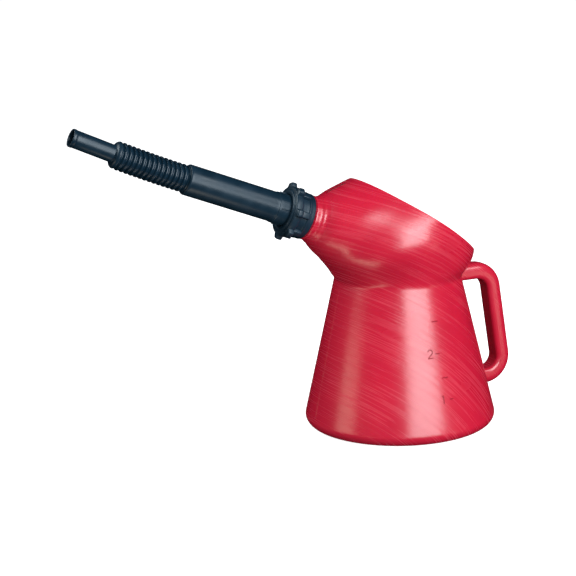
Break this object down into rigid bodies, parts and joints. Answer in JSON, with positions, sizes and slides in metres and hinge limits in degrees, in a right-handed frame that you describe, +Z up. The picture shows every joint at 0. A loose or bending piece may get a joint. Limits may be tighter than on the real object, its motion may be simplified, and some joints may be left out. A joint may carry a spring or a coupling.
{
  "type": "oil measuring jug with flexible spout",
  "caption": "Cone-shaped oil measuring jug with a slanted open mouth, a loop handle and a screwed-on flexible bellows pouring spout.",
  "frame": {"origin": "centre of the jug's flat base", "axes": "+Z up from the base, +X towards the handle, -X towards the spout, y = 0 is the plane of symmetry"},
  "size_m": [0.4587, 0.192, 0.3228],
  "materials": {
    "jug_red": "blow-moulded polyethylene, satin gloss, with fine drawn marks in the skin",
    "spout_black": "moulded polyethylene, semi-gloss blue-black",
    "washer": "moulded nitrile rubber"
  },
  "bodies": {
    "jug": {"jug_body": "jug_red", "jug_head": "jug_red", "jug_neck": "jug_red", "neck_thread": "jug_red", "jug_handle": "jug_red"},
    "washer": {"sealing_washer": "washer"},
    "collar": {"screw_collar": "spout_black", "collar_thread": "spout_black"},
    "spout_base": {"spout_tube": "spout_black"},
    "ring_01": {"bellows_ring_01": "spout_black"},
    "ring_02": {"bellows_ring_02": "spout_black"},
    "ring_03": {"bellows_ring_03": "spout_black"},
    "ring_04": {"bellows_ring_04": "spout_black"},
    "ring_05": {"bellows_ring_05": "spout_black"},
    "ring_06": {"bellows_ring_06": "spout_black"},
    "ring_07": {"bellows_ring_07": "spout_black"},
    "ring_08": {"bellows_ring_08": "spout_black"},
    "ring_09": {"bellows_ring_09": "spout_black"},
    "ring_10": {"bellows_ring_10": "spout_black"},
    "ring_11": {"bellows_ring_11": "spout_black"},
    "ring_12": {"bellows_ring_12": "spout_black"},
    "ring_13": {"bellows_ring_13": "spout_black"},
    "ring_14": {"bellows_ring_14": "spout_black"},
    "nozzle": {"nozzle": "spout_black"}
  },
  "joints": [
    {"name": "collar_travel", "type": "slide", "parent": "jug", "child": "washer", "axis": [-0.93, 0, 0.3675], "range_m": [0, 0.008]},
    {"name": "collar_turn", "type": "hinge", "parent": "washer", "child": "collar", "pos_m": [-0.1003, 0, 0.2198], "axis": [-0.93, 0, 0.3675], "range_deg": [0, 720]},
    {"name": "spout_swivel", "type": "hinge", "parent": "washer", "child": "spout_base", "pos_m": [-0.1003, 0, 0.2198], "axis": [-0.93, 0, 0.3675], "continuous": true},
    {"name": "bend_up_1", "type": "hinge", "parent": "spout_base", "child": "ring_01", "pos_m": [-0.22332, 0, 0.26841], "axis": [0.0006, 1, 0.0004], "range_deg": [-6, 6], "stiffness_Nm_per_rad": 5},
    {"name": "bend_side_1", "type": "hinge", "parent": "ring_01", "child": "ring_02", "pos_m": [-0.22773, 0, 0.27017], "axis": [0.3712, 0, 0.9286], "range_deg": [-6, 6], "stiffness_Nm_per_rad": 5},
    {"name": "bend_up_2", "type": "hinge", "parent": "ring_02", "child": "ring_03", "pos_m": [-0.23213, 0, 0.27195], "axis": [0.0006, 1, 0.0004], "range_deg": [-6, 6], "stiffness_Nm_per_rad": 5},
    {"name": "bend_side_2", "type": "hinge", "parent": "ring_03", "child": "ring_04", "pos_m": [-0.23653, 0, 0.27375], "axis": [0.3785, 0, 0.9256], "range_deg": [-6, 6], "stiffness_Nm_per_rad": 5},
    {"name": "bend_up_3", "type": "hinge", "parent": "ring_04", "child": "ring_05", "pos_m": [-0.24092, 0, 0.27556], "axis": [0.0006, 1, 0.0004], "range_deg": [-6, 6], "stiffness_Nm_per_rad": 5},
    {"name": "bend_side_3", "type": "hinge", "parent": "ring_05", "child": "ring_06", "pos_m": [-0.2453, 0, 0.2774], "axis": [0.3858, 0, 0.9226], "range_deg": [-6, 6], "stiffness_Nm_per_rad": 5},
    {"name": "bend_up_4", "type": "hinge", "parent": "ring_06", "child": "ring_07", "pos_m": [-0.24968, 0, 0.27925], "axis": [0.0006, 1, 0.0004], "range_deg": [-6, 6], "stiffness_Nm_per_rad": 5},
    {"name": "bend_side_4", "type": "hinge", "parent": "ring_07", "child": "ring_08", "pos_m": [-0.25405, 0, 0.28111], "axis": [0.3931, 0, 0.9195], "range_deg": [-6, 6], "stiffness_Nm_per_rad": 5},
    {"name": "bend_up_5", "type": "hinge", "parent": "ring_08", "child": "ring_09", "pos_m": [-0.25841, 0, 0.283], "axis": [0.0006, 1, 0.0004], "range_deg": [-6, 6], "stiffness_Nm_per_rad": 5},
    {"name": "bend_side_5", "type": "hinge", "parent": "ring_09", "child": "ring_10", "pos_m": [-0.26276, 0, 0.2849], "axis": [0.4003, 0, 0.9164], "range_deg": [-6, 6], "stiffness_Nm_per_rad": 5},
    {"name": "bend_up_6", "type": "hinge", "parent": "ring_10", "child": "ring_11", "pos_m": [-0.2671, 0, 0.28682], "axis": [0.0006, 1, 0.0004], "range_deg": [-6, 6], "stiffness_Nm_per_rad": 5},
    {"name": "bend_side_6", "type": "hinge", "parent": "ring_11", "child": "ring_12", "pos_m": [-0.27144, 0, 0.28875], "axis": [0.4076, 0, 0.9132], "range_deg": [-6, 6], "stiffness_Nm_per_rad": 5},
    {"name": "bend_up_7", "type": "hinge", "parent": "ring_12", "child": "ring_13", "pos_m": [-0.27577, 0, 0.29071], "axis": [0.0006, 1, 0.0004], "range_deg": [-6, 6], "stiffness_Nm_per_rad": 5},
    {"name": "bend_side_7", "type": "hinge", "parent": "ring_13", "child": "ring_14", "pos_m": [-0.28009, 0, 0.29268], "axis": [0.4148, 0, 0.9099], "range_deg": [-6, 6], "stiffness_Nm_per_rad": 5},
    {"name": "bend_up_8", "type": "hinge", "parent": "ring_14", "child": "nozzle", "pos_m": [-0.28441, 0, 0.29467], "axis": [0.0006, 1, 0.0004], "range_deg": [-6, 6], "stiffness_Nm_per_rad": 5}
  ],
  "couplings": [
    {"joint": "collar_travel", "follows": "collar_turn", "m_per_rad": 0.00063662},
    {"joint": "bend_up_2", "follows": "bend_up_1", "ratio": 1},
    {"joint": "bend_side_2", "follows": "bend_side_1", "ratio": 1},
    {"joint": "bend_up_3", "follows": "bend_up_1", "ratio": 1},
    {"joint": "bend_side_3", "follows": "bend_side_1", "ratio": 1},
    {"joint": "bend_up_4", "follows": "bend_up_1", "ratio": 1},
    {"joint": "bend_side_4", "follows": "bend_side_1", "ratio": 1},
    {"joint": "bend_up_5", "follows": "bend_up_1", "ratio": 1},
    {"joint": "bend_side_5", "follows": "bend_side_1", "ratio": 1},
    {"joint": "bend_up_6", "follows": "bend_up_1", "ratio": 1},
    {"joint": "bend_side_6", "follows": "bend_side_1", "ratio": 1},
    {"joint": "bend_up_7", "follows": "bend_up_1", "ratio": 1},
    {"joint": "bend_side_7", "follows": "bend_side_1", "ratio": 1},
    {"joint": "bend_up_8", "follows": "bend_up_1", "ratio": 1}
  ]
}
